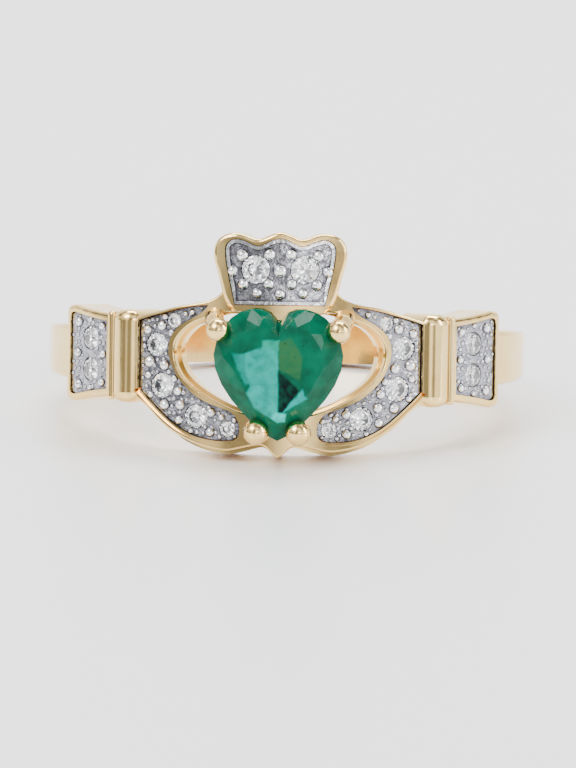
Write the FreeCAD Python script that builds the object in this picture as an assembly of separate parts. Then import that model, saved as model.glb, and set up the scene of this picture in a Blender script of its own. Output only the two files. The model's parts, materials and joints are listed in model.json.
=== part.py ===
import FreeCAD, Part
import math
import os

V = FreeCAD.Vector

# Driving sizes in millimetres.
# The ring is drawn upright first: finger axis along Z, heart towards -Y.
FINGER_RADIUS = 8.65
BAND_OUTER_RADIUS = 9.90
BAND_HALF_HEIGHT_FRONT = 1.17
BAND_HALF_HEIGHT_SIDE = 0.96
BAND_HALF_HEIGHT_BACK = 0.90
BAND_EDGE_ROUND = 0.22

FACE_RADIUS = 10.50
RIM_RADIUS = 10.46
RIM_ROUND = 0.07
LEDGE_RADIUS = 10.36
LEDGE_WIDTH = 0.11
LOWER_TIER_RADIUS = 9.98
LOWER_TIER_GROWTH = 0.17
WINDOW_STEP = 0.10
RECESS_RADIUS = 9.55
RECESS_MARGIN = 0.45
NOTCH_HALF_HEIGHT = 0.15
NOTCH_HEIGHT = 0.42
FIELD_RADIUS = 10.30
POCKET_FLOOR_RADIUS = 9.72
PLATE_BOTTOM_RADIUS = 9.76
PLATE_TOP_RADIUS = 10.27
PLATE_GAP = 0.03
NEAR_PLANE = 4.0
FAR_PLANE = 14.0

CROWN_INNER_RADIUS = 9.20
CROWN_FACE_RADIUS = 10.62
CROWN_FLOOR_RADIUS = 9.88
CROWN_PLATE_BOTTOM = 9.92
CROWN_PLATE_TOP = 10.48
CROWN_EDGE_ROUND = 0.16
CROWN_BORDER_WIDTH = 0.13
CROWN_BORDER_HEIGHT = 0.09

FLARE_FACE_RADIUS = 10.36
FLARE_EDGE_ROUND = 0.20
CUFF_START_ANGLE = 32.9
CUFF_END_ANGLE = 39.5
COLLAR_END_ANGLE = 41.6
CUFF_HALF_HEIGHT = 1.86
CUFF_END_ROUND = 0.42
COLLAR_HALF_HEIGHT = 1.77
COLLAR_END_ROUND = 0.13
STOCK_RADIUS = 8.50

HEART_GIRDLE_Y = -11.20
HEART_TABLE_Y = -12.02
HEART_CULET_Y = -9.15
HEART_GIRDLE_THICKNESS = 0.14
HEART_GAP = 1.012

STONE_GAP = 0.025
BEAD_SINK = 0.04

# Outlines as seen from the front, columns (lateral, height), right half.
# The left half is the mirror image.
VEE_RUN = [(0.0, -3.85), (0.12, -3.79), (0.34, -3.58), (0.62, -3.38)]
HAND_LOWER_RUN = [
    (0.62, -3.38), (0.95, -3.38), (1.50, -3.50), (1.99, -3.60), (2.55, -3.56),
    (3.18, -3.41), (3.97, -3.07), (4.77, -2.52), (5.18, -2.10), (5.62, -1.72), (6.05, -1.42),
]
HAND_UPPER_RUN = [
    (6.05, 1.42), (5.66, 1.59), (5.26, 1.73), (4.60, 1.92), (3.95, 2.09), (3.26, 2.21),
    (2.74, 2.35), (2.30, 2.68),
]
WINDOW_RUN = [
    (0.0, 1.52), (0.80, 1.72), (1.60, 1.90), (2.30, 1.84), (2.95, 1.60), (3.50, 1.36), (3.92, 1.00),
    (4.17, 0.60), (4.21, 0.18), (4.11, -0.28), (3.88, -0.68), (3.50, -1.05), (2.98, -1.40),
    (2.42, -1.70), (1.90, -1.93), (1.10, -2.16), (0.0, -2.26),
]
HAND_FIELD_INNER_RUN = [
    (2.78, 2.14), (3.00, 1.86), (3.40, 1.60), (3.96, 1.23), (4.27, 0.81), (4.35, 0.38), (4.30, -0.05),
    (4.17, -0.40), (3.95, -0.79), (3.66, -1.12), (3.34, -1.41), (2.95, -1.65), (2.55, -1.82), (2.12, -1.98),
]
HAND_FIELD_TIP_RUN = [
    (2.12, -1.98), (1.78, -2.14), (1.56, -2.45), (1.50, -2.80), (1.60, -3.10), (1.85, -3.21),
]
HAND_FIELD_LOWER_RUN = [
    (1.85, -3.21), (2.34, -3.24), (2.80, -3.19), (3.30, -3.07), (3.88, -2.80), (4.42, -2.41), (4.90, -1.97),
    (5.28, -1.60), (5.60, -1.26),
]
HAND_FIELD_UPPER_RUN = [(5.60, 1.44), (5.10, 1.62), (4.50, 1.80), (3.95, 1.96), (3.30, 2.09), (2.78, 2.14)]

CROWN_SIDE_RUN = [(2.28, 2.66), (2.42, 3.20), (2.57, 3.72), (2.64, 4.16), (2.60, 4.48)]
CROWN_TOP_RUN = [
    (2.60, 4.48), (2.42, 4.78), (2.10, 4.96), (1.75, 5.01), (1.30, 4.90), (0.90, 4.78),
    (0.45, 4.92), (0.0, 5.05),
]
CROWN_FIELD_SIDE_RUN = [(1.77, 2.16), (1.92, 2.80), (2.06, 3.45), (2.16, 4.05), (2.17, 4.36)]
CROWN_FIELD_TOP_RUN = [
    (2.17, 4.36), (2.07, 4.61), (1.84, 4.76), (1.54, 4.75), (1.20, 4.63), (0.88, 4.51),
    (0.46, 4.68), (0.0, 4.81),
]

# Round stones: columns (lateral, height, girdle radius).
CROWN_STONES = [(0.97, 3.57, 0.56)]
HAND_STONES = [
    (4.22, 1.47, 0.29), (4.92, 0.50, 0.47), (4.68, -1.12, 0.50), (3.28, -2.30, 0.47), (2.02, -2.76, 0.31),
]
FLARE_STONES = [(7.72, 0.64, 0.47), (7.72, -0.62, 0.47)]

# Raised metal beads: columns (lateral, height, radius).
CROWN_BEADS = [
    (1.50, 4.12, 0.25), (0.42, 4.18, 0.24), (1.88, 3.50, 0.24), (1.45, 2.98, 0.23),
    (0.45, 3.00, 0.22), (0.90, 2.64, 0.21),
]
CROWN_CENTRE_BEADS = [(0.0, 3.52, 0.28), (0.0, 2.60, 0.22)]
HAND_BEADS = [
    (4.70, 1.26, 0.21), (4.30, 0.98, 0.17), (3.48, 1.82, 0.14), (4.58, 1.62, 0.15), (5.28, 1.08, 0.20),
    (5.18, -0.18, 0.25), (4.58, -0.30, 0.22), (5.24, -0.72, 0.17), (4.18, -0.82, 0.17), (4.02, -1.32, 0.20),
    (4.56, -1.88, 0.23), (3.92, -1.86, 0.22), (5.14, -1.50, 0.16), (3.96, -2.46, 0.20), (2.68, -2.12, 0.20),
    (2.70, -2.90, 0.20), (3.48, -2.88, 0.13), (2.26, -2.30, 0.15), (1.74, -2.40, 0.13), (1.72, -3.05, 0.10),
    (5.42, 0.44, 0.12), (3.10, 2.00, 0.09), (2.32, -3.08, 0.11), (5.24, 1.44, 0.10),
]
FLARE_BEADS = [
    (7.22, 1.14, 0.18), (8.22, 1.27, 0.21), (7.17, 0.02, 0.18), (8.26, 0.02, 0.20), (7.22, -1.12, 0.18),
    (8.22, -1.25, 0.21), (7.72, 1.38, 0.14), (7.72, -1.36, 0.14),
]

# Claws that hold the heart: columns (lateral, height, depth) from root to ball.
UPPER_CLAW = [(2.60, 1.72, -9.70), (2.54, 1.54, -10.75), (2.50, 1.48, -11.15), (2.37, 1.21, -11.64)]
UPPER_CLAW_RADIUS = 0.39
UPPER_BALL_RADIUS = 0.47
LOWER_CLAW = [(0.96, -2.86, -9.95), (0.93, -2.84, -10.95), (0.83, -2.77, -11.60)]
LOWER_CLAW_RADIUS = 0.37
LOWER_BALL_RADIUS = 0.50

# Right half of the heart's girdle, from the notch down to the point.
HEART_RUN = [
    (0.0, 1.50), (0.12, 1.64), (0.38, 1.90), (0.72, 2.03), (1.06, 2.05), (1.46, 1.94), (1.85, 1.70),
    (2.20, 1.30), (2.43, 0.80), (2.55, 0.24), (2.47, -0.34), (2.22, -0.94), (1.84, -1.52), (1.38, -2.04),
    (0.90, -2.52), (0.42, -2.92), (0.0, -3.13),
]
HEART_CENTRE_HEIGHT = -0.20
HEART_KEEL_TOP = 0.30
HEART_KEEL_BOTTOM = -0.90


def on_cylinder(lateral, height, radius, outline_radius=FACE_RADIUS):
    """Point on a cylinder, on the radial line through a point of the front outline."""
    angle = math.asin(lateral / outline_radius)
    return V(radius * math.sin(angle), -radius * math.cos(angle), height)


def chord_steps(run):
    """Running chord lengths of an outline run, used as spline parameters."""
    steps = [0.0]
    for first, second in zip(run, run[1:]):
        steps.append(steps[-1] + math.dist(first, second))
    return steps


def run_edge(run, spots):
    """Line or spline through the placed points of a run."""
    if len(run) == 2:
        return Part.LineSegment(spots[0], spots[1]).toShape()
    curve = Part.BSplineCurve()
    curve.interpolate(Points=spots, Parameters=chord_steps(run))
    return curve.toShape()


def section(runs, plane, outline_radius):
    """Closed wire of an outline, carried along radial lines to the plane y = -plane."""
    edges = []
    for run in runs:
        spots = []
        for lateral, height in run:
            angle = math.asin(lateral / outline_radius)
            spots.append(V(plane * math.tan(angle), -plane, height))
        edges.append(run_edge(run, spots))
    return Part.Wire(edges)


def shell_between(inner, outer):
    """Tube about the finger axis."""
    base = V(0, 0, -8)
    return Part.makeCylinder(outer, 16, base).cut(Part.makeCylinder(inner, 16, base))


def radial_block(runs, inner, outer, outline_radius=FACE_RADIUS):
    """Solid whose walls run radially through a front outline, between two radii."""
    near = section(runs, NEAR_PLANE, outline_radius)
    far = section(runs, FAR_PLANE, outline_radius)
    prism = Part.makeLoft([near, far], True, True)
    return prism.common(shell_between(inner, outer)).Solids[0]


def flipped(run):
    """Mirror image of a run, in the opposite order."""
    return [(-lateral, height) for lateral, height in reversed(run)]


def mirror(shape):
    """Mirror image of a shape across the plane x = 0."""
    return shape.mirror(V(0, 0, 0), V(1, 0, 0))


def both_sides(shape):
    """A shape and its mirror image."""
    return [shape, mirror(shape)]


def offset_run(run, distance):
    """Run shifted sideways; a positive distance moves it to the left of its direction."""
    moved = []
    for index, (lateral, height) in enumerate(run):
        before = run[max(index - 1, 0)]
        after = run[min(index + 1, len(run) - 1)]
        along_x = after[0] - before[0]
        along_z = after[1] - before[1]
        length = math.hypot(along_x, along_z)
        moved.append((lateral - along_z / length * distance, height + along_x / length * distance))
    return moved


def rod_chain(spots, radius):
    """Round rod with bends through a list of points."""
    pieces = [Part.makeSphere(radius, spots[0])]
    for first, second in zip(spots, spots[1:]):
        along = second - first
        pieces.append(Part.makeCylinder(radius, along.Length, first, along))
        pieces.append(Part.makeSphere(radius, second))
    return pieces[0].multiFuse(pieces[1:]).removeSplitter()


def fillet_where(shape, radius, test):
    """Round the edges whose middle passes a test."""
    chosen = []
    for edge in shape.Edges:
        middle = edge.valueAt(0.5 * (edge.FirstParameter + edge.LastParameter))
        if test(edge, middle):
            chosen.append(edge)
    return shape.makeFillet(radius, chosen)


def polar(radius, degrees):
    """Point in the plane z = 0 at an angle from the front of the ring."""
    angle = math.radians(degrees)
    return V(radius * math.sin(angle), -radius * math.cos(angle), 0)


def inset_loop(runs, distance):
    """Closed outline moved inwards by a small distance."""
    loop = [spot for run in runs for spot in run[:-1]]
    count = len(loop)
    area = 0.0
    for index in range(count):
        x0, z0 = loop[index]
        x1, z1 = loop[(index + 1) % count]
        area += x0 * z1 - x1 * z0
    side = distance if area > 0 else -distance
    moved = []
    for index in range(count):
        x0, z0 = loop[index - 1]
        x1, z1 = loop[(index + 1) % count]
        length = math.hypot(x1 - x0, z1 - z0)
        x, z = loop[index]
        moved.append((x - (z1 - z0) / length * side, z + (x1 - x0) / length * side))
    shifted = []
    start = 0
    for run in runs:
        steps = len(run) - 1
        shifted.append([moved[(start + step) % count] for step in range(steps + 1)])
        start += steps
    return shifted


def hand_field():
    """Outline of the stone-set field of the right hand."""
    return [
        HAND_FIELD_INNER_RUN,
        HAND_FIELD_TIP_RUN,
        HAND_FIELD_LOWER_RUN,
        [HAND_FIELD_LOWER_RUN[-1], HAND_FIELD_UPPER_RUN[0]],
        HAND_FIELD_UPPER_RUN,
    ]


def flare_outline(inner, outer, inner_half, outer_half, corner):
    """Outline of a sleeve flare: narrow beside the cuff, wide and round-cornered at its far end."""
    upper = [
        (outer - corner, outer_half),
        (outer - 0.25 * corner, outer_half - 0.2 * corner),
        (outer, outer_half - corner),
    ]
    lower = [(x, -z) for x, z in reversed(upper)]
    return [
        [(inner, inner_half), upper[0]],
        upper,
        [upper[-1], lower[0]],
        lower,
        [lower[-1], (inner, -inner_half)],
        [(inner, -inner_half), (inner, inner_half)],
    ]


def crown_outline(side, top):
    """Closed outline of the crown or of its field."""
    return [side, top + flipped(top)[1:], flipped(side), [(-side[0][0], side[0][1]), side[0]]]


def flare_field():
    return flare_outline(6.96, 8.56, 1.36, 1.66, 0.24)


def crown_field():
    return crown_outline(CROWN_FIELD_SIDE_RUN, CROWN_FIELD_TOP_RUN)


def build_band():
    """Plain shank, tallest beside the head, open where the head sits."""
    tube = shell_between(STOCK_RADIUS, BAND_OUTER_RADIUS)
    heights = [
        (-12.0, BAND_HALF_HEIGHT_FRONT + 0.10),
        (-5.5, BAND_HALF_HEIGHT_FRONT),
        (0.0, BAND_HALF_HEIGHT_SIDE),
        (BAND_OUTER_RADIUS - BAND_EDGE_ROUND, BAND_HALF_HEIGHT_BACK),
        (12.0, BAND_HALF_HEIGHT_BACK - 0.01),
    ]
    upper = [V(-12, y, z) for y, z in heights]
    lower = [V(-12, y, -z) for y, z in reversed(heights)]
    side = Part.Face(Part.Wire([
        spline_through(upper),
        Part.LineSegment(upper[-1], lower[0]).toShape(),
        spline_through(lower),
        Part.LineSegment(lower[-1], upper[0]).toShape(),
    ]))
    band = tube.common(side.extrude(V(24, 0, 0)))
    band = fillet_where(band, BAND_EDGE_ROUND, outer_edge)
    reach = 14 * math.tan(math.radians(CUFF_START_ANGLE + 3))
    notch = Part.makePolygon([V(0, 0, -3), V(reach, -14, -3), V(-reach, -14, -3), V(0, 0, -3)])
    return band.cut(Part.Face(notch).extrude(V(0, 0, 6))).Solids[0]


def spline_through(spots):
    curve = Part.BSplineCurve()
    curve.interpolate(Points=spots)
    return curve.toShape()


def outer_edge(edge, middle):
    """True for the band's outer rims."""
    return abs(math.hypot(middle.x, middle.y) - BAND_OUTER_RADIUS) < 0.01 and abs(middle.z) > 0.5


def build_cuff():
    """Polished convex cuff and its narrow collar, right side."""
    middle = 0.5 * (CUFF_START_ANGLE + CUFF_END_ANGLE)
    cuff = arc_bar(
        CUFF_START_ANGLE, CUFF_END_ANGLE, 10.44, 10.76, 10.50, middle - 0.3,
        CUFF_HALF_HEIGHT, 0.12, CUFF_END_ROUND,
    )
    centre = 0.5 * (CUFF_END_ANGLE + COLLAR_END_ANGLE)
    collar = arc_bar(
        CUFF_END_ANGLE - 0.05, COLLAR_END_ANGLE, 10.47, 10.58, 10.43, centre,
        COLLAR_HALF_HEIGHT, 0.05, COLLAR_END_ROUND,
    )
    return cuff, collar


def arc_bar(start, end, first, peak, last, peak_angle, half_height, corner_round, end_round):
    """Upright bar with a convex front between two angles, its ends rounded over."""
    front = Part.Arc(polar(first, start), polar(peak, peak_angle), polar(last, end)).toShape()
    edges = [
        front,
        Part.LineSegment(polar(last, end), polar(STOCK_RADIUS, end)).toShape(),
        Part.LineSegment(polar(STOCK_RADIUS, end), polar(STOCK_RADIUS, start)).toShape(),
        Part.LineSegment(polar(STOCK_RADIUS, start), polar(first, start)).toShape(),
    ]
    profile = Part.Face(Part.Wire(edges))
    profile.translate(V(0, 0, -half_height))
    bar = profile.extrude(V(0, 0, 2 * half_height))

    def front_corner(edge, middle):
        outer = math.hypot(middle.x, middle.y) > first - 0.1
        return outer and abs(middle.z) < 0.01

    def front_end(edge, middle):
        outer = math.hypot(middle.x, middle.y) > first - 0.15
        return outer and abs(abs(middle.z) - half_height) < 0.001

    bar = fillet_where(bar, corner_round, front_corner)
    return fillet_where(bar, end_round, front_end)


def build_flare():
    """Right sleeve flare with softly rounded outer edges."""
    outline = flare_outline(6.60, 8.75, 1.62, 1.95, 0.34)
    block = radial_block(outline, STOCK_RADIUS, FLARE_FACE_RADIUS, FIELD_RADIUS)

    def face_edge(edge, middle):
        outer = abs(math.hypot(middle.x, middle.y) - FLARE_FACE_RADIUS) < 0.01
        return outer and middle.x > 6.7

    return fillet_where(block, FLARE_EDGE_ROUND, face_edge)


def head_outline(lower_run, vee_run):
    """Closed outer outline of the two hands, without the crown."""
    bridge = [(2.30, 2.68), (-2.30, 2.68)]
    right = [vee_run + lower_run[1:], [lower_run[-1], HAND_UPPER_RUN[0]], HAND_UPPER_RUN]
    return right + [bridge] + [flipped(run) for run in reversed(right)]


def grown(run):
    """Lower outline of the inner tier, a little deeper than the front rim."""
    return [(x, z - LOWER_TIER_GROWTH * min(1.0, x / 1.2, max(0.2, 5.2 - x))) for x, z in run]


def window(step):
    """Closed outline of the opening behind the heart, tightened by a step."""
    right = [(x if x > 0 else 0.0, z) for x, z in offset_run(WINDOW_RUN, -step)]
    right[0] = (0.0, right[0][1])
    right[-1] = (0.0, right[-1][1])
    return [right, flipped(right)]


def build_head():
    """Two tiers of the hands: a soft-edged front and a deeper back, with the opening cut through."""
    front = radial_block(head_outline(HAND_LOWER_RUN, VEE_RUN), LOWER_TIER_RADIUS - 0.06, RIM_RADIUS)
    front = front.cut(radial_block(window(0.0), 8.0, 12.0)).Solids[0]

    def front_edge(edge, middle):
        outer = abs(math.hypot(middle.x, middle.y) - RIM_RADIUS) < 0.01
        return outer and abs(middle.x) < 5.6

    front = fillet_where(front, RIM_ROUND, front_edge)
    back = radial_block(head_outline(grown(HAND_LOWER_RUN), grown(VEE_RUN)), STOCK_RADIUS, LOWER_TIER_RADIUS)
    back = back.cut(radial_block(window(WINDOW_STEP), 8.0, 12.0))
    back = back.cut(radial_block(window(-RECESS_MARGIN), 8.0, RECESS_RADIUS)).Solids[0]
    low = NOTCH_HEIGHT - NOTCH_HALF_HEIGHT
    high = NOTCH_HEIGHT + NOTCH_HALF_HEIGHT
    notch = [(3.90, low), (4.36, low), (4.36, high), (3.90, high), (3.90, low)]
    sides = [[first, second] for first, second in zip(notch, notch[1:])]
    return front, back.cut(both_sides(radial_block(sides, 9.0, LOWER_TIER_RADIUS - 0.07)))


def build_crown():
    """Three-lobed crown block, standing above the hands."""
    side = [(1.90, 1.92), (2.28, 2.66)] + CROWN_SIDE_RUN[1:]
    outline = crown_outline(side, CROWN_TOP_RUN)
    block = radial_block(outline, CROWN_INNER_RADIUS, CROWN_FACE_RADIUS)

    def face_edge(edge, middle):
        outer = abs(math.hypot(middle.x, middle.y) - CROWN_FACE_RADIUS) < 0.01
        return outer and middle.z > 2.0

    return fillet_where(block, CROWN_EDGE_ROUND, face_edge)


def build_claws():
    """Four bent claws with ball tips."""
    claws = []
    for path, radius, ball in (
        (UPPER_CLAW, UPPER_CLAW_RADIUS, UPPER_BALL_RADIUS),
        (LOWER_CLAW, LOWER_CLAW_RADIUS, LOWER_BALL_RADIUS),
    ):
        spots = [V(x, y, z) for x, z, y in path]
        claw = rod_chain(spots, radius).fuse(Part.makeSphere(ball, spots[-1]))
        claws += both_sides(claw)
    return claws


def facet_solid(facets):
    """Closed solid from flat facets, each a list of corner points."""
    faces = [Part.Face(Part.makePolygon(spots + [spots[0]])) for spots in facets]
    solid = Part.makeSolid(Part.makeShell(faces))
    if solid.Volume < 0:
        solid.reverse()
    return solid


def round_stone(radius):
    """Brilliant with an eight-sided table, girdle plane at z = 0, table towards +Z."""
    table_radius = 0.56 * radius
    crown_height = 0.31 * radius
    girdle = 0.06 * radius
    depth = 0.84 * radius
    star_radius = 0.80 * radius
    lower_radius = 0.30 * radius
    half_turn = math.cos(math.pi / 8)
    crown_slope = crown_height / (radius - table_radius)
    star_height = crown_height - crown_slope * (star_radius * half_turn - table_radius)
    base_slope = (depth - girdle) / radius
    lower_height = -depth + base_slope * lower_radius * half_turn

    def ring(size, height, offset, index):
        angle = math.pi / 8 * (2 * index + offset)
        return V(size * math.cos(angle), size * math.sin(angle), height)

    culet = V(0, 0, -depth)
    facets = [[ring(table_radius, crown_height, 0, index) for index in range(8)]]
    for index in range(8):
        table = [ring(table_radius, crown_height, 0, index + step) for step in (0, 1)]
        star = [ring(star_radius, star_height, 1, index + step) for step in (-1, 0)]
        top = [ring(radius, 0, offset, index) for offset in (0, 1, 2)]
        base = [ring(radius, -girdle, offset, index) for offset in (0, 1, 2)]
        lower = [ring(lower_radius, lower_height, 1, index + step) for step in (-1, 0)]
        facets += [
            [table[0], star[1], table[1]],
            [table[0], star[0], top[0], star[1]],
            [star[1], top[0], top[1]],
            [star[1], top[1], top[2]],
            [top[0], base[0], base[1], top[1]],
            [top[1], base[1], base[2], top[2]],
            [base[0], lower[1], base[1]],
            [base[1], lower[1], base[2]],
            [base[0], lower[0], culet, lower[1]],
        ]
    return facet_solid(facets)


def round_seat(radius):
    """Tool that clears the space of a round stone with a small gap."""
    gap = STONE_GAP
    profile = [
        V(0, 0, 0.31 * radius + gap),
        V(0.58 * radius + gap, 0, 0.31 * radius + gap),
        V(radius + gap, 0, gap * 0.5),
        V(radius + gap, 0, -0.06 * radius - gap),
        V(0, 0, -0.84 * radius - 1.5 * gap),
    ]
    face = Part.Face(Part.makePolygon(profile + [profile[0]]))
    return face.revolve(V(0, 0, 0), V(0, 0, 1), 360)


def facing_out(lateral, height, radius, outline_radius=FACE_RADIUS):
    """Placement at a radius that turns local +Z away from the finger axis."""
    spot = on_cylinder(lateral, height, radius, outline_radius)
    outward = V(spot.x, spot.y, 0)
    return FreeCAD.Placement(spot, FreeCAD.Rotation(V(0, 0, 1), outward))


def placed(shape, placement):
    copy = shape.copy()
    copy.Placement = placement
    return copy


def heart_ring(scale, depth):
    """Points of the heart outline, shrunk about its middle, at a depth."""
    loop = HEART_RUN + flipped(HEART_RUN)[1:-1]
    return [V(x * scale, depth, HEART_CENTRE_HEIGHT + (z - HEART_CENTRE_HEIGHT) * scale) for x, z in loop]


def build_heart():
    """Heart-cut stone: table, stars, bezels and girdle facets above, kites and mains below."""
    girdle_low = HEART_GIRDLE_Y + HEART_GIRDLE_THICKNESS
    rise = HEART_TABLE_Y - HEART_GIRDLE_Y
    drop = HEART_CULET_Y - girdle_low
    table = heart_ring(0.70, HEART_TABLE_Y)[0::2]
    star = heart_ring(0.85, HEART_GIRDLE_Y + 0.62 * rise)[1::2]
    top = heart_ring(1.0, HEART_GIRDLE_Y)
    base = heart_ring(1.0, girdle_low)
    lower = heart_ring(0.50, girdle_low + 0.62 * drop)[1::2]
    keel = (V(0, HEART_CULET_Y, HEART_KEEL_TOP), V(0, HEART_CULET_Y + 0.22 * (-drop), HEART_KEEL_BOTTOM))
    facets = [table]
    count = len(table)
    for index in range(count):
        after = (index + 1) % count
        first = 2 * index
        half = first + 1
        last = (first + 2) % len(top)
        facets += [
            [table[index], star[index], table[after]],
            [table[index], star[index - 1], top[first]],
            [table[index], top[first], star[index]],
            [star[index], top[first], top[half]],
            [star[index], top[half], top[last]],
            [top[first], base[first], base[half], top[half]],
            [top[half], base[half], base[last], top[last]],
            [base[first], lower[index], base[half]],
            [base[half], lower[index], base[last]],
            [base[first], lower[index - 1], lower[index]],
        ]
        sides = (lower[index - 1], lower[index])
        ends = [keel[0] if spot.z > HEART_KEEL_BOTTOM else keel[1] for spot in sides]
        facets.append([lower[index - 1], ends[0], lower[index]])
        if ends[0] != ends[1]:
            facets.append([ends[0], ends[1], lower[index]])
    return facet_solid(facets)


def field_stones():
    """Round stones by field: name, lateral, height, girdle radius and girdle distance."""
    rows = []
    for x, z, radius in CROWN_STONES:
        for side, sign in (("left", -1), ("right", 1)):
            rows.append((f"crown_diamond_{side}", sign * x, z, radius, CROWN_PLATE_TOP - 0.02, FACE_RADIUS))
    for side, sign in (("left", -1), ("right", 1)):
        for index, (x, z, radius) in enumerate(HAND_STONES):
            name = f"{side}_hand_diamond_{index + 1}"
            rows.append((name, sign * x, z, radius, PLATE_TOP_RADIUS - 0.02, FIELD_RADIUS))
        for index, (x, z, radius) in enumerate(FLARE_STONES):
            name = f"{side}_flare_diamond_{index + 1}"
            rows.append((name, sign * x, z, radius, PLATE_TOP_RADIUS - 0.02, FIELD_RADIUS))
    return rows


def build_plate(runs, bottom, top, beads, seats, outline_radius=FACE_RADIUS):
    """White field plate with raised beads and open stone seats."""
    outline = inset_loop(runs, PLATE_GAP)
    plate = radial_block(outline, bottom, top, outline_radius)
    balls = []
    for lateral, height, radius in beads:
        centre = on_cylinder(lateral, height, top - BEAD_SINK, outline_radius)
        balls.append(Part.makeSphere(radius, centre))
    field = radial_block(outline, bottom, top + 1.0, outline_radius)
    return largest(plate.multiFuse(balls).common(field).cut(seats))


def crown_border():
    """Low bright-cut wall round the crown's field."""
    outer = inset_loop(crown_field(), PLATE_GAP)
    inner = inset_loop(crown_field(), PLATE_GAP + CROWN_BORDER_WIDTH)
    wall = radial_block(outer, CROWN_PLATE_BOTTOM, CROWN_PLATE_TOP + CROWN_BORDER_HEIGHT)
    return wall.cut(radial_block(inner, CROWN_PLATE_BOTTOM - 1.0, CROWN_PLATE_TOP + 1.0))


def field_pockets():
    """Spaces of the stone-set fields: each a pocket, the hands' with a narrow ledge along its lower side."""
    outer = offset_run(HAND_FIELD_LOWER_RUN, -LEDGE_WIDTH)
    inner = offset_run(HAND_FIELD_LOWER_RUN, LEDGE_WIDTH)[::-1]
    ledge = [outer, [outer[-1], inner[0]], inner, [inner[-1], outer[0]]]
    tools = [radial_block(crown_field(), CROWN_FLOOR_RADIUS, 12.0)]
    tools += both_sides(radial_block(hand_field(), POCKET_FLOOR_RADIUS, 12.0, FIELD_RADIUS))
    tools += both_sides(radial_block(ledge, LEDGE_RADIUS, 12.0, FIELD_RADIUS))
    tools += both_sides(radial_block(flare_field(), POCKET_FLOOR_RADIUS, 12.0, FIELD_RADIUS))
    return tools


def build_mount(heart):
    """The soldered gold body: shank, cuffs, flares, hands, crown and claws."""
    pieces = list(build_head()) + [build_crown()]
    for piece in (build_flare(),) + build_cuff():
        pieces += both_sides(piece)
    mount = build_band().multiFuse(pieces).multiFuse(build_claws())
    for tool in field_pockets():
        mount = mount.cut(tool)
    mount = mount.cut(Part.makeCylinder(FINGER_RADIUS, 16, V(0, 0, -8)))
    return largest(mount.cut(heart.scaled(HEART_GAP, V(0, HEART_GIRDLE_Y, HEART_CENTRE_HEIGHT))))


def largest(shape):
    """Biggest solid of a shape."""
    return max(shape.Solids, key=lambda solid: solid.Volume)


def mirrored_rows(rows):
    """Table rows on both sides of the middle."""
    return rows + [(-lateral, height, radius) for lateral, height, radius in rows]


def build_shapes():
    """All solids of the ring in the upright frame, by node name."""
    shapes = {"emerald_heart": build_heart()}
    seats = []
    for name, lateral, height, radius, distance, outline_radius in field_stones():
        placement = facing_out(lateral, height, distance, outline_radius)
        shapes[name] = placed(round_stone(radius), placement)
        seats.append(placed(round_seat(radius), placement))
    crown_beads = mirrored_rows(CROWN_BEADS) + CROWN_CENTRE_BEADS
    crown = build_plate(crown_field(), CROWN_PLATE_BOTTOM, CROWN_PLATE_TOP, crown_beads, seats)
    shapes["crown_pave_plate"] = largest(crown.fuse(crown_border()))
    hand = build_plate(hand_field(), PLATE_BOTTOM_RADIUS, PLATE_TOP_RADIUS, HAND_BEADS, seats, FIELD_RADIUS)
    flare = build_plate(
        flare_field(), PLATE_BOTTOM_RADIUS, PLATE_TOP_RADIUS, FLARE_BEADS, seats, FIELD_RADIUS
    )
    shapes["right_hand_pave_plate"] = hand
    shapes["left_hand_pave_plate"] = mirror(hand)
    shapes["right_flare_pave_plate"] = flare
    shapes["left_flare_pave_plate"] = mirror(flare)
    shapes["gold_mount"] = build_mount(shapes["emerald_heart"])
    return shapes


def lay_down(shapes):
    """Ring on its side: the point of the vee and the back of the shank touch the floor."""
    front_y = -FINGER_RADIUS
    front_z = VEE_RUN[0][1]
    back_y = BAND_OUTER_RADIUS - BAND_EDGE_ROUND
    back_z = BAND_EDGE_ROUND - BAND_HALF_HEIGHT_BACK
    reach = math.hypot(back_y - front_y, back_z - front_z)
    tilt = math.atan2(back_z - front_z, back_y - front_y) - math.asin(BAND_EDGE_ROUND / reach)
    turn = FreeCAD.Placement(V(0, 0, 0), FreeCAD.Rotation(V(1, 0, 0), -math.degrees(tilt)))
    turned = {name: moved(shape, turn) for name, shape in shapes.items()}
    box = Part.makeCompound(list(turned.values())).optimalBoundingBox()
    shift = FreeCAD.Placement(V(0, -box.Center.y, -box.ZMin), FreeCAD.Rotation())
    return {name: moved(shape, shift) for name, shape in turned.items()}


def moved(shape, placement):
    """Copy of a shape carried by a placement."""
    return shape.transformed(placement.toMatrix())


def main():
    os.makedirs("parts", exist_ok=True)
    for name, shape in lay_down(build_shapes()).items():
        shape.exportStep("parts/" + name + ".step")


if __name__ == "__main__":
    main()
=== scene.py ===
import json
import math
import random
from collections import Counter

import bmesh
import bpy
from mathutils import Matrix, Vector
from mathutils.bvhtree import BVHTree


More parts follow.
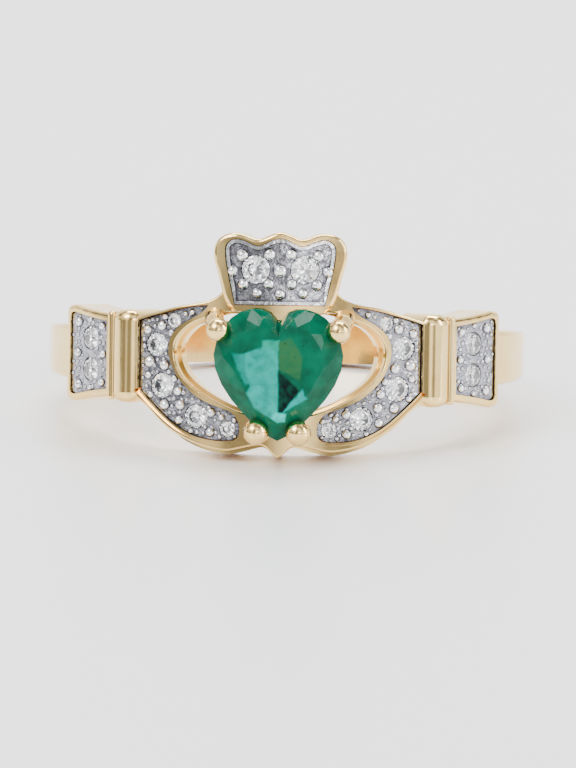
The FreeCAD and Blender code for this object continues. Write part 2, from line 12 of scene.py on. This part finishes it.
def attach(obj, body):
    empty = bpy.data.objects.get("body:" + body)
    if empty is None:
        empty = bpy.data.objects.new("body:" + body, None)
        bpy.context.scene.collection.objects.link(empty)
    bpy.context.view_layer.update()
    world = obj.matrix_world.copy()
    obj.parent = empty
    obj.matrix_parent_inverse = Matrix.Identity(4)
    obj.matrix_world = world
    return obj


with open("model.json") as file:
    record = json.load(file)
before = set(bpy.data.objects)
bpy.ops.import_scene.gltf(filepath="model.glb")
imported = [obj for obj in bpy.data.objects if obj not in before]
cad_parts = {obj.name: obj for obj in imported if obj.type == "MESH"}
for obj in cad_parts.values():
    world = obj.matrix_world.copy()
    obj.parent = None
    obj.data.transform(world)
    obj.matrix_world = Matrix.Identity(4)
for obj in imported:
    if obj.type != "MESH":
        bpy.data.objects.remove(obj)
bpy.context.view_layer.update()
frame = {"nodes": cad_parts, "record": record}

MM = 0.001
IMAGE_WIDTH = 576
IMAGE_HEIGHT = 768

# The finger axis as the mount states it: its middle point, and its lean back from upright.
BORE = frame["record"]["mounts"][0]
RING_CENTRE = Vector(BORE["pos_m"])
LEAN = math.atan2(BORE["axis"][1], BORE["axis"][2])

# Camera: direction to the ring, distance, and where the ring's centre falls in the picture.
CAMERA_AZIMUTH = math.radians(1.7)
CAMERA_ELEVATION = math.radians(2.3) + LEAN
CAMERA_ROLL = math.radians(0.6)
CAMERA_DISTANCE = 180 * MM
PIXELS_PER_MM = 23.94
CENTRE_PIXEL = (286.8, 350.0)
SENSOR = 36.0

GOLD_COLOR = (1.0, 0.73, 0.30)
GOLD_SHADE = (0.95, 0.57, 0.15)
# Painted shade: the gold's deep orange-brown in creases and narrow places.
GOLD_PAINTED_SHADE = (0.42, 0.16, 0.02)
WHITE_METAL_COLOR = (0.92, 0.92, 0.94)
# Painted shade: the darker ground of the stone-set plates between their raised beads.
WHITE_METAL_SHADED_GROUND = (0.27, 0.27, 0.31)
# Painted shade: the white metal near black in the plates' creases.
WHITE_METAL_PAINTED_SHADE = (0.05, 0.05, 0.07)
DIAMOND_COLOR = (0.97, 0.98, 1.0)
FLOOR_COLOR = (0.97, 0.97, 0.98)

# Radius of the stone-set plates' ground about the finger axis, in mm; their beads stand above it.
PLATE_RADIUS = 10.27
CROWN_PLATE_RADIUS = 10.48

# Emerald: body colours, how soft and how wavy the patches' edges are in mm, and the patches as (colour,
# corners):
# painted reflections of bright and dark facets seen in its depth, with the corners' columns (lateral,
# height) in mm.
EMERALD_BODY = (0.0, 0.072, 0.036)
EMERALD_CLOUD = (0.0, 0.125, 0.066)
EMERALD_SPECK = (0.0, 0.02, 0.008)
EMERALD_PATCH_SOFTNESS = 0.10
EMERALD_WOBBLE = 0.16
EMERALD_PAINTED_REFLECTIONS = [
    ((0.0, 0.24, 0.19), [
        (-1.85, 0.28), (-1.26, 0.32), (-1.03, -0.88), (-1.34, -0.90), (-1.59, -0.24),
    ]),
    ((0.0, 0.34, 0.23), [(-0.62, 0.82), (0.06, 0.86), (0.06, 0.46), (-0.62, 0.50)]),
    ((0.0, 0.33, 0.27), [
        (-1.28, 0.32), (-0.62, 0.56), (0.01, 0.46), (0.03, -0.88), (-1.03, -0.90), (-1.28, -0.40),
    ]),
    ((0.0, 0.36, 0.30), [
        (-1.03, -0.90), (0.03, -0.88), (0.05, -2.02), (-0.30, -2.18), (-0.92, -1.80), (-1.22, -1.22),
    ]),
    ((0.02, 0.115, 0.042), [
        (0.02, 0.80), (0.50, 0.95), (0.98, 0.20), (0.86, -0.70), (0.06, -0.30),
    ]),
    ((0.0, 0.006, 0.006), [(0.05, -0.36), (0.87, -1.10), (0.24, -1.96), (0.05, -1.98)]),
    ((0.0, 0.36, 0.32), [(0.97, -1.06), (1.16, -1.42), (0.24, -1.96)]),
    ((0.01, 0.60, 0.52), [
        (-0.04, -1.98), (0.34, -2.02), (0.28, -2.34), (0.02, -2.34), (-0.24, -2.18),
    ]),
]

# Grains between the set beads. Row pitch, smallest and largest radius are shares of the spacing; sinking,
# depth and reach are shares of a grain's own radius. Lengths are in mm and the angle in radians.
GRAIN_PLATES = [
    "left_hand_pave_plate", "right_hand_pave_plate", "left_flare_pave_plate", "right_flare_pave_plate",
]
GRAIN_SPACING = 0.30
GRAIN_ROW_PITCH = 0.87
GRAIN_SMALLEST = 0.26
GRAIN_LARGEST = 0.40
GRAIN_SINKING = 0.25
GRAIN_DEPTH = 0.85
GRAIN_REACH = 0.9
GRAIN_ANGLE_SCATTER = 0.004
GRAIN_HEIGHT_SCATTER = 0.04
FLAT_TOLERANCE = 0.02
EDGE_TOLERANCE = 0.03
QUARTER_TURNS = (0.0, 1.57, 3.14, 4.71)

# Floor and backdrop, in metres.
FLOOR_HALF_WIDTH = 0.6
FLOOR_NEAR = -0.35
FLOOR_BEND_START = 0.20
FLOOR_BEND_RADIUS = 0.12
FLOOR_BEND_STEPS = 12
BACKDROP_TOP = 0.6

# Lights: columns (name, place in m, size in m, radiance as a mirror shows it).
LIGHTS = [
    ("key", (-0.22, -0.22, 0.30), (0.22, 0.22), 10.0),
    ("side", (0.34, -0.10, 0.16), (0.12, 0.26), 8.0),
    ("top", (0.03, 0.14, 0.40), (0.34, 0.16), 12.0),
    ("front", (0.10, -0.45, 0.14), (0.14, 0.10), 5.0),
]

# Surroundings by height of the direction: columns (height, colour). The first height is 0 and the last is 1.
WORLD_RAMP = [
    (0.0, (0.55, 0.56, 0.60)),
    (0.16, (1.0, 0.99, 0.96)),
    (0.45, (0.45, 0.46, 0.50)),
    (1.0, (1.0, 1.0, 1.0)),
]


def upright(point):
    """Point of the ring's own upright frame, in millimetres, from a place in the scene."""
    return (Matrix.Rotation(LEAN, 3, "X") @ (Vector(point) - RING_CENTRE)) / MM


def placed(point):
    """Place in the scene of a point of the upright frame."""
    return Matrix.Rotation(-LEAN, 3, "X") @ (Vector(point) * MM) + RING_CENTRE


def on_ring(angle, height, radius):
    """Upright point on a cylinder about the finger axis; angle 0 is the front."""
    return Vector((radius * math.sin(angle), -radius * math.cos(angle), height))


class NodeGraph:
    """Short ways to add and join the nodes of a material or of the surroundings."""

    def __init__(self, tree):
        self.tree = tree

    def connect(self, value, socket):
        """Link another node's output to a socket, or set a value on it."""
        if isinstance(value, bpy.types.NodeSocket):
            self.tree.links.new(value, socket)
        else:
            socket.default_value = value

    def node(self, kind, inputs=(), **settings):
        """New node; each input is a value or an output of another node."""
        made = self.tree.nodes.new(kind)
        for name, value in settings.items():
            setattr(made, name, value)
        for key, value in dict(inputs).items():
            self.connect(value, made.inputs[key])
        return made

    def vector(self, operation, first, second=(0, 0, 0), third=(0, 0, 0)):
        return self.node("ShaderNodeVectorMath", {0: first, 1: second, 2: third}, operation=operation)

    def number(self, operation, first, second, third=0.0, **settings):
        inputs = {0: first, 1: second, 2: third}
        return self.node("ShaderNodeMath", inputs, operation=operation, **settings).outputs[0]

    def noise(self, place, scale, detail=2.0):
        inputs = {"Vector": place, "Scale": scale, "Detail": detail}
        return self.node("ShaderNodeTexNoise", inputs).outputs["Fac"]

    def spread(self, value, old_range, new_range):
        """Value taken from one range to another, clamped."""
        made = self.node("ShaderNodeMapRange", {
            "Value": value,
            "From Min": old_range[0],
            "From Max": old_range[1],
            "To Min": new_range[0],
            "To Max": new_range[1],
        })
        return made.outputs["Result"]

    def mix(self, factor, first, second):
        """Mix of two colours, each a colour or an output."""
        made = self.node("ShaderNodeMix", {0: factor}, data_type="RGBA")
        for color, socket in ((first, made.inputs[6]), (second, made.inputs[7])):
            self.connect((*color, 1) if isinstance(color, tuple) else color, socket)
        return made.outputs[2]


class Shader(NodeGraph):
    """Material with its Principled shader."""

    def __init__(self, name):
        self.material = bpy.data.materials.new(name)
        self.material.use_nodes = True
        super().__init__(self.material.node_tree)
        self.principled = self.tree.nodes["Principled BSDF"]

    def set(self, **values):
        for name, value in values.items():
            self.principled.inputs[name.replace("_", " ")].default_value = value

    def feed(self, name, output):
        self.tree.links.new(output, self.principled.inputs[name])

    def place(self):
        """Coordinates of the ring's upright frame, in millimetres."""
        away = -(Matrix.Rotation(LEAN, 3, "X") @ RING_CENTRE) / MM
        coordinates = self.node("ShaderNodeTexCoord")
        mapping = self.node("ShaderNodeMapping", {
            "Vector": coordinates.outputs["Object"],
            "Location": away,
            "Rotation": (LEAN, 0, 0),
            "Scale": (1 / MM, 1 / MM, 1 / MM),
        })
        return mapping.outputs["Vector"]

    def radius(self, place):
        """Distance from the finger axis."""
        level = self.vector("MULTIPLY", place, (1, 1, 0)).outputs[0]
        return self.vector("LENGTH", level).outputs["Value"]

    def patch(self, place, corners, softness):
        """Mask of a convex patch given by its corners in the front view."""
        middle = Vector((sum(x for x, _ in corners), sum(z for _, z in corners))) / len(corners)
        mask = None
        for (x0, z0), (x1, z1) in zip(corners, corners[1:] + corners[:1]):
            across = Vector((z1 - z0, x0 - x1)).normalized()
            if across.dot(Vector((x0, z0)) - middle) > 0:
                across = -across
            distance = self.vector("DOT_PRODUCT", place, (across.x, 0, across.y)).outputs["Value"]
            edge = 0.5 - across.dot(Vector((x0, z0))) / softness
            inside = self.number("MULTIPLY_ADD", distance, 1 / softness, edge, use_clamp=True)
            mask = inside if mask is None else self.number("MINIMUM", mask, inside)
        return mask

    def crease(self, distance):
        """Ambient occlusion for painted shade: from 0 in narrow places to 1 in the open, within a distance
        in millimetres.
        """
        made = self.node("ShaderNodeAmbientOcclusion", {"Distance": distance * MM}, samples=8)
        return made.outputs["AO"]

    def bump(self, height, strength, distance):
        """Fine unevenness from a height between 0 and 1; its distance is in millimetres."""
        inputs = {"Height": height, "Strength": strength, "Distance": distance * MM}
        self.feed("Normal", self.node("ShaderNodeBump", inputs).outputs["Normal"])


def make_gold():
    """Polished gold: faint cloudiness, fine polishing haze and painted shade, a deeper colour, in the
    creases.
    """
    shader = Shader("yellow_gold")
    shader.set(Metallic=1.0)
    place = shader.place()
    clouds = shader.spread(shader.noise(place, 0.55), (0.35, 0.75), (0.0, 0.55))
    polished = shader.mix(clouds, GOLD_COLOR, GOLD_SHADE)
    # Painted shade: creases and narrow places take the darker gold colour, by ambient occlusion.
    unshaded_share = shader.spread(shader.crease(0.35), (0.15, 0.62), (0.0, 1.0))
    shader.feed("Base Color", shader.mix(unshaded_share, GOLD_PAINTED_SHADE, polished))
    haze = shader.noise(place, 5.0, 3.0)
    shader.feed("Roughness", shader.spread(haze, (0.3, 0.7), (0.08, 0.13)))
    shader.bump(shader.noise(place, 0.9, 1.0), 0.25, 0.02)
    return shader.material


def make_white_metal(name, plate_radius):
    """White plating on a stone-set plate: bright beads on a ground darkened by painted shade, with lighter
    cut marks, and painted shade, black, in the creases.
    """
    shader = Shader(name)
    shader.set(Metallic=1.0)
    place = shader.place()
    radius = shader.radius(place)
    # Painted shade: the plate's ground below the beads is darker; random cut marks lighten it and the raised
    # beads keep the plain metal colour.
    cuts = shader.spread(shader.noise(place, 4.0, 4.0), (0.35, 0.70), (0.0, 0.45))
    raised = shader.spread(radius, (plate_radius + 0.005, plate_radius + 0.10), (0.0, 1.0))
    ground = shader.mix(shader.number("MAXIMUM", cuts, raised), WHITE_METAL_SHADED_GROUND, WHITE_METAL_COLOR)
    # Painted shade: creases and narrow places go near black, by ambient occlusion.
    unshaded_share = shader.spread(shader.crease(0.22), (0.45, 0.95), (0.0, 1.0))
    shader.feed("Base Color", shader.mix(unshaded_share, WHITE_METAL_PAINTED_SHADE, ground))
    haze = shader.noise(place, 6.0, 3.0)
    shader.feed("Roughness", shader.spread(haze, (0.3, 0.7), (0.10, 0.26)))
    shader.bump(shader.noise(place, 2.8, 3.0), 0.7, 0.07)
    return shader.material


def make_emerald():
    """Deep green stone with cloudy growth, painted reflections of bright and dark facets in its depth, and
    specks.
    """
    shader = Shader("emerald")
    shader.set(Roughness=0.04, IOR=1.50, Transmission_Weight=0.12, Specular_IOR_Level=0.06)
    place = shader.place()
    wobble = shader.node("ShaderNodeTexNoise", {"Vector": place, "Scale": 2.2, "Detail": 3.0})
    most = (EMERALD_WOBBLE,) * 3
    least = (-EMERALD_WOBBLE / 2,) * 3
    shift = shader.vector("MULTIPLY_ADD", wobble.outputs["Color"], most, least)
    bent = shader.vector("ADD", place, shift.outputs[0]).outputs[0]
    clouds = shader.spread(shader.noise(place, 1.3, 6.0), (0.38, 0.68), (0.0, 1.0))
    color = shader.mix(clouds, EMERALD_BODY, EMERALD_CLOUD)
    streaks = shader.spread(shader.noise(place, 3.6, 5.0), (0.30, 0.60), (0.55, 1.0))
    # Painted reflections: bright and dark facets of the stone's depth laid into its colour.
    for tint, corners in EMERALD_PAINTED_REFLECTIONS:
        mask = shader.patch(bent, corners, EMERALD_PATCH_SOFTNESS)
        color = shader.mix(shader.number("MULTIPLY", mask, streaks), color, tint)
    specks = shader.node("ShaderNodeTexVoronoi", {"Vector": place, "Scale": 1.7}).outputs["Distance"]
    color = shader.mix(shader.spread(specks, (0.03, 0.07), (0.8, 0.0)), color, EMERALD_SPECK)
    shader.feed("Base Color", color)
    return shader.material


def make_diamond():
    """Clear bright stone."""
    shader = Shader("diamond")
    shader.set(Base_Color=(*DIAMOND_COLOR, 1), Transmission_Weight=1.0, IOR=2.42)
    haze = shader.noise(shader.place(), 4.0)
    shader.feed("Roughness", shader.spread(haze, (0.4, 0.7), (0.0, 0.02)))
    return shader.material


def make_floor_paint():
    """Pale satin surface, a little uneven in gloss."""
    shader = Shader("floor")
    shader.set(Base_Color=(*FLOOR_COLOR, 1))
    mottle = shader.node("ShaderNodeTexNoise", {"Scale": 40.0, "Detail": 3.0}).outputs["Fac"]
    shader.feed("Roughness", shader.spread(mottle, (0.3, 0.7), (0.28, 0.36)))
    return shader.material


MATERIALS = {
    "yellow_gold": make_gold(),
    "white_metal": make_white_metal("white_metal", PLATE_RADIUS),
    "emerald": make_emerald(),
    "diamond": make_diamond(),
}
CROWN_WHITE_METAL = make_white_metal("white_metal_crown", CROWN_PLATE_RADIUS)


def add_object(name, data):
    """New object at the origin, in the scene."""
    made = bpy.data.objects.new(name, data)
    bpy.context.scene.collection.objects.link(made)
    return made


def paint_nodes():
    """Every CAD node takes the material of its slot in the record."""
    for part in frame["record"]["subparts"]:
        mesh = frame["nodes"][part["node"]].data
        mesh.materials.clear()
        is_crown = part["node"] == "crown_pave_plate"
        mesh.materials.append(CROWN_WHITE_METAL if is_crown else MATERIALS[part["material_slot"]])


class PlateSurface:
    """Outer surface of a stone-set plate, found by rays towards the finger axis."""

    def __init__(self, node):
        mesh = frame["nodes"][node].data
        spots = [upright(vertex.co) for vertex in mesh.vertices]
        self.tree = BVHTree.FromPolygons(spots, [list(face.vertices) for face in mesh.polygons])
        self.angles = [math.atan2(spot.x, -spot.y) for spot in spots]
        self.heights = [spot.z for spot in spots]
        self.outer = max(math.hypot(spot.x, spot.y) for spot in spots) + 1.0

    def radius(self, angle, height):
        """Radius of the surface, or 0 beside the plate."""
        start = on_ring(angle, height, self.outer)
        inward = -Vector((start.x, start.y, 0)).normalized()
        hit = self.tree.ray_cast(start, inward)[0]
        return math.hypot(hit.x, hit.y) if hit else 0.0


def grain_trials(surface, chance):
    """Scattered rows over the whole plate: columns (angle, height, grain radius, surface radius)."""
    first_angle = min(surface.angles)
    first_height = min(surface.heights)
    rows = int((max(surface.heights) - first_height) / (GRAIN_SPACING * GRAIN_ROW_PITCH)) + 1
    steps = int((max(surface.angles) - first_angle) * surface.outer / GRAIN_SPACING) + 1
    trials = []
    for row in range(rows):
        for step in range(steps):
            along = (step + 0.5 * (row % 2)) * GRAIN_SPACING / surface.outer
            up = row * GRAIN_SPACING * GRAIN_ROW_PITCH
            angle = first_angle + along + chance.uniform(-GRAIN_ANGLE_SCATTER, GRAIN_ANGLE_SCATTER)
            height = first_height + up + chance.uniform(-GRAIN_HEIGHT_SCATTER, GRAIN_HEIGHT_SCATTER)
            size = chance.uniform(GRAIN_SMALLEST, GRAIN_LARGEST) * GRAIN_SPACING
            trials.append((angle, height, size, surface.radius(angle, height)))
    return trials


def add_ball(mesh, centre, angle, size):
    """Grain a little flattened towards the finger axis."""
    turn = Matrix.Rotation(angle, 3, "Z")
    for vertex in bmesh.ops.create_icosphere(mesh, subdivisions=2, radius=size)["verts"]:
        local = vertex.co.copy()
        vertex.co = placed(turn @ Vector((local.x, local.y * GRAIN_DEPTH, local.z)) + centre)


def add_grains(node, seed):
    """Small raised grains all over the plate's ground, clear of its beads, stones and edges."""
    surface = PlateSurface(node)
    trials = grain_trials(surface, random.Random(seed))
    ground = Counter(round(level, 2) for *_, level in trials if level).most_common(1)[0][0]
    mesh = bmesh.new()
    for angle, height, size, level in trials:
        if abs(level - ground) > FLAT_TOLERANCE:
            continue
        reach = size * GRAIN_REACH
        around = [
            surface.radius(angle + reach * math.cos(turn) / ground, height + reach * math.sin(turn))
            for turn in QUARTER_TURNS
        ]
        if min(around) >= ground - EDGE_TOLERANCE:
            add_ball(mesh, on_ring(angle, height, ground - GRAIN_SINKING * size), angle, size)
    data = bpy.data.meshes.new(node + "_grains")
    mesh.to_mesh(data)
    mesh.free()
    data.shade_smooth()
    data.materials.append(MATERIALS["white_metal"])
    grains = add_object(node + "_grains", data)
    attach(grains, "root")


def add_floor():
    """Pale floor that curves up behind the ring into a backdrop."""
    profile = [(FLOOR_NEAR, 0.0), (FLOOR_BEND_START, 0.0)]
    for step in range(1, FLOOR_BEND_STEPS + 1):
        angle = step / FLOOR_BEND_STEPS * math.pi / 2
        back = FLOOR_BEND_START + FLOOR_BEND_RADIUS * math.sin(angle)
        profile.append((back, FLOOR_BEND_RADIUS * (1 - math.cos(angle))))
    profile.append((FLOOR_BEND_START + FLOOR_BEND_RADIUS, BACKDROP_TOP))
    points = [(x, y, z) for y, z in profile for x in (-FLOOR_HALF_WIDTH, FLOOR_HALF_WIDTH)]
    faces = [(2 * i, 2 * i + 1, 2 * i + 3, 2 * i + 2) for i in range(len(profile) - 1)]
    mesh = bpy.data.meshes.new("floor")
    mesh.from_pydata(points, [], faces)
    mesh.shade_smooth()
    mesh.materials.append(make_floor_paint())
    add_object("floor", mesh)


def add_light(name, location, size, radiance):
    """Soft rectangular light aimed at the ring."""
    data = bpy.data.lights.new(name, "AREA")
    data.shape = "RECTANGLE"
    data.size, data.size_y = size
    data.energy = radiance * math.pi * size[0] * size[1]
    light = add_object(name, data)
    light.location = location
    light.rotation_euler = (-Vector(location)).to_track_quat("-Z", "Y").to_euler()


def add_world():
    """Pale surroundings, brighter and darker by height and in broad soft patches."""
    world = bpy.data.worlds.new("studio")
    world.use_nodes = True
    graph = NodeGraph(world.node_tree)
    direction = graph.node("ShaderNodeTexCoord").outputs["Generated"]
    upward = graph.node("ShaderNodeSeparateXYZ", {0: direction}).outputs["Z"]
    shade = graph.node("ShaderNodeValToRGB", {"Fac": upward})
    stops = shade.color_ramp.elements
    for height, _ in WORLD_RAMP[1:-1]:
        stops.new(height)
    for stop, (_, color) in zip(stops, WORLD_RAMP):
        stop.color = (*color, 1)
    patches = graph.noise(direction, 1.7, 0.0)
    background = graph.tree.nodes["Background"]
    graph.connect(shade.outputs["Color"], background.inputs["Color"])
    graph.connect(graph.spread(patches, (0.38, 0.56), (0.45, 2.5)), background.inputs["Strength"])
    bpy.context.scene.world = world


def add_camera():
    """Camera at the photograph's angle; the shift puts the ring's centre at its place in the frame."""
    data = bpy.data.cameras.new("camera")
    focal_pixels = PIXELS_PER_MM * CAMERA_DISTANCE / MM
    data.sensor_width = SENSOR
    data.lens = focal_pixels / IMAGE_HEIGHT * SENSOR
    data.shift_x = (IMAGE_WIDTH / 2 - CENTRE_PIXEL[0]) / IMAGE_HEIGHT
    data.shift_y = (CENTRE_PIXEL[1] - IMAGE_HEIGHT / 2) / IMAGE_HEIGHT
    data.clip_start = 0.005
    data.clip_end = 10
    away = Vector((
        math.sin(CAMERA_AZIMUTH) * math.cos(CAMERA_ELEVATION),
        -math.cos(CAMERA_AZIMUTH) * math.cos(CAMERA_ELEVATION),
        math.sin(CAMERA_ELEVATION),
    ))
    place = Matrix.Translation(RING_CENTRE + away * CAMERA_DISTANCE)
    aim = (-away).to_track_quat("-Z", "Y").to_matrix().to_4x4()
    camera = add_object("camera", data)
    camera.matrix_world = place @ aim @ Matrix.Rotation(CAMERA_ROLL, 4, "Z")
    bpy.context.scene.camera = camera


paint_nodes()
for seed, node in enumerate(GRAIN_PLATES):
    add_grains(node, seed)
add_floor()
add_world()
for light in LIGHTS:
    add_light(*light)
add_camera()
